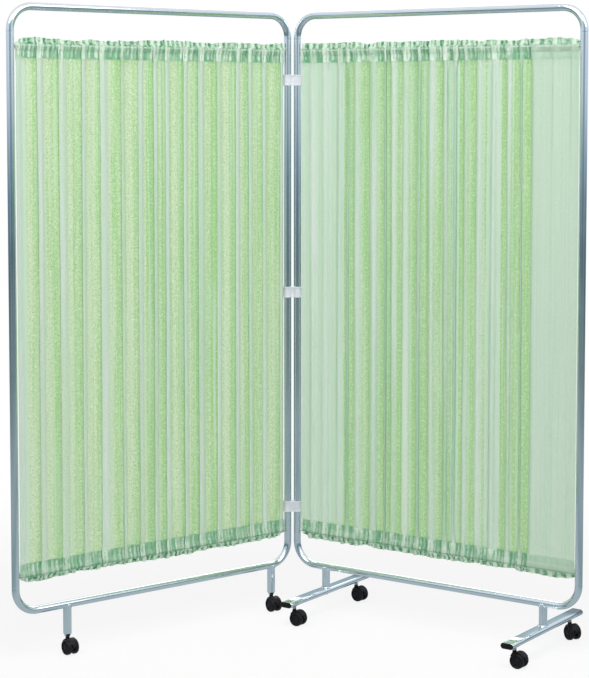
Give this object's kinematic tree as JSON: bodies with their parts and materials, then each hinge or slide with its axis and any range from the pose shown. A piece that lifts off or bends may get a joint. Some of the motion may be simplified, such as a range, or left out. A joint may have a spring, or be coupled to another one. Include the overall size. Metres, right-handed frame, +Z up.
{
  "type": "ward privacy screen",
  "caption": "Folding ward privacy screen: hinged tube frames with gathered curtains on rods, standing on posts and cross feet with swivel casters.",
  "frame": {"origin": "at floor level, under the middle of the whole screen's bounding box", "axes": "+Z up, +X to the viewer's right, +Y away from the viewer, towards the hinge"},
  "size_m": [1.5026, 0.7446, 1.682],
  "materials": {
    "chrome_tube": "bright plated tube",
    "zinc_steel": "zinc plated",
    "white_plastic": "moulded, semi-gloss",
    "black_plastic": "moulded, satin",
    "green_voile": "sheer gathered cloth with a small mottled pattern"
  },
  "bodies": {
    "hinge_clips": {"top_clip": "white_plastic", "middle_clip": "white_plastic", "bottom_clip": "white_plastic"},
    "right_panel": {"right_frame_tube": "chrome_tube", "right_top_rod": "zinc_steel", "right_bottom_rod": "zinc_steel", "right_curtain": "green_voile", "right_inner_post": "chrome_tube", "right_outer_post": "chrome_tube", "inner_foot": "chrome_tube", "outer_foot": "chrome_tube", "inner_foot_bolt": "zinc_steel", "outer_foot_bolt": "zinc_steel", "inner_foot_front_cap": "black_plastic", "inner_foot_rear_cap": "black_plastic", "outer_foot_front_cap": "black_plastic", "outer_foot_rear_cap": "black_plastic", "inner_front_caster_holder": "zinc_steel", "inner_front_caster_stem": "zinc_steel", "inner_rear_caster_holder": "zinc_steel", "inner_rear_caster_stem": "zinc_steel", "outer_front_caster_holder": "zinc_steel", "outer_front_caster_stem": "zinc_steel", "outer_rear_caster_holder": "zinc_steel", "outer_rear_caster_stem": "zinc_steel"},
    "left_panel": {"left_frame_tube": "chrome_tube", "left_top_rod": "zinc_steel", "left_bottom_rod": "zinc_steel", "left_curtain": "green_voile", "left_inner_post": "chrome_tube", "left_outer_post": "chrome_tube", "left_inner_caster_holder": "black_plastic", "left_inner_caster_stem": "zinc_steel", "left_outer_caster_holder": "black_plastic", "left_outer_caster_stem": "zinc_steel"},
    "left_inner_caster": {"left_inner_caster_housing": "black_plastic"},
    "left_inner_wheels": {"left_inner_caster_axle": "zinc_steel", "left_inner_caster_wheel_a": "black_plastic", "left_inner_caster_wheel_b": "black_plastic"},
    "left_outer_caster": {"left_outer_caster_housing": "black_plastic"},
    "left_outer_wheels": {"left_outer_caster_axle": "zinc_steel", "left_outer_caster_wheel_a": "black_plastic", "left_outer_caster_wheel_b": "black_plastic"},
    "inner_front_caster": {"inner_front_caster_housing": "black_plastic"},
    "inner_front_wheels": {"inner_front_caster_axle": "zinc_steel", "inner_front_caster_wheel_a": "black_plastic", "inner_front_caster_wheel_b": "black_plastic"},
    "inner_rear_caster": {"inner_rear_caster_housing": "black_plastic"},
    "inner_rear_wheels": {"inner_rear_caster_axle": "zinc_steel", "inner_rear_caster_wheel_a": "black_plastic", "inner_rear_caster_wheel_b": "black_plastic"},
    "outer_front_caster": {"outer_front_caster_housing": "black_plastic"},
    "outer_front_wheels": {"outer_front_caster_axle": "zinc_steel", "outer_front_caster_wheel_a": "black_plastic", "outer_front_caster_wheel_b": "black_plastic"},
    "outer_rear_caster": {"outer_rear_caster_housing": "black_plastic"},
    "outer_rear_wheels": {"outer_rear_caster_axle": "zinc_steel", "outer_rear_caster_wheel_a": "black_plastic", "outer_rear_caster_wheel_b": "black_plastic"}
  },
  "joints": [
    {"name": "right_panel_turn", "type": "hinge", "parent": "hinge_clips", "child": "right_panel", "pos_m": [-0.00703, 0.26098, 0.9], "axis": [0, 0, -1], "range_deg": [-126.5, 53.5]},
    {"name": "left_panel_turn", "type": "hinge", "parent": "hinge_clips", "child": "left_panel", "pos_m": [-0.03403, 0.26098, 0.9], "axis": [0, 0, 1], "range_deg": [-126.5, 53.5]},
    {"name": "left_inner_swivel", "type": "hinge", "parent": "left_panel", "child": "left_inner_caster", "pos_m": [-0.08226, 0.22529, 0.036], "axis": [0, 0, 1], "continuous": true},
    {"name": "left_inner_roll", "type": "hinge", "parent": "left_inner_caster", "child": "left_inner_wheels", "pos_m": [-0.07511, 0.21384, 0.02], "axis": [0.848, 0.5299, 0], "continuous": true},
    {"name": "left_outer_swivel", "type": "hinge", "parent": "left_panel", "child": "left_outer_caster", "pos_m": [-0.61924, -0.17205, 0.036], "axis": [0, 0, 1], "continuous": true},
    {"name": "left_outer_roll", "type": "hinge", "parent": "left_outer_caster", "child": "left_outer_wheels", "pos_m": [-0.6113, -0.18297, 0.02], "axis": [0.809, 0.5878, 0], "continuous": true},
    {"name": "inner_front_swivel", "type": "hinge", "parent": "right_panel", "child": "inner_front_caster", "pos_m": [-0.02064, 0.07699, 0.036], "axis": [0, 0, 1], "continuous": true},
    {"name": "inner_front_roll", "type": "hinge", "parent": "inner_front_caster", "child": "inner_front_wheels", "pos_m": [-0.01, 0.06868, 0.02], "axis": [0.6157, 0.788, 0], "continuous": true},
    {"name": "inner_rear_swivel", "type": "hinge", "parent": "right_panel", "child": "inner_rear_caster", "pos_m": [0.16494, 0.32779, 0.036], "axis": [0, 0, 1], "continuous": true},
    {"name": "inner_rear_roll", "type": "hinge", "parent": "inner_rear_caster", "child": "inner_rear_wheels", "pos_m": [0.17466, 0.31841, 0.02], "axis": [0.6947, 0.7193, 0], "continuous": true},
    {"name": "outer_front_swivel", "type": "hinge", "parent": "right_panel", "child": "outer_front_caster", "pos_m": [0.52638, -0.32779, 0.036], "axis": [0, 0, 1], "continuous": true},
    {"name": "outer_front_roll", "type": "hinge", "parent": "outer_front_caster", "child": "outer_front_wheels", "pos_m": [0.53688, -0.33629, 0.02], "axis": [0.6293, 0.7771, 0], "continuous": true},
    {"name": "outer_rear_swivel", "type": "hinge", "parent": "right_panel", "child": "outer_rear_caster", "pos_m": [0.71197, -0.07699, 0.036], "axis": [0, 0, 1], "continuous": true},
    {"name": "outer_rear_roll", "type": "hinge", "parent": "outer_rear_caster", "child": "outer_rear_wheels", "pos_m": [0.71724, -0.08941, 0.02], "axis": [0.9205, 0.3907, 0], "continuous": true}
  ]
}
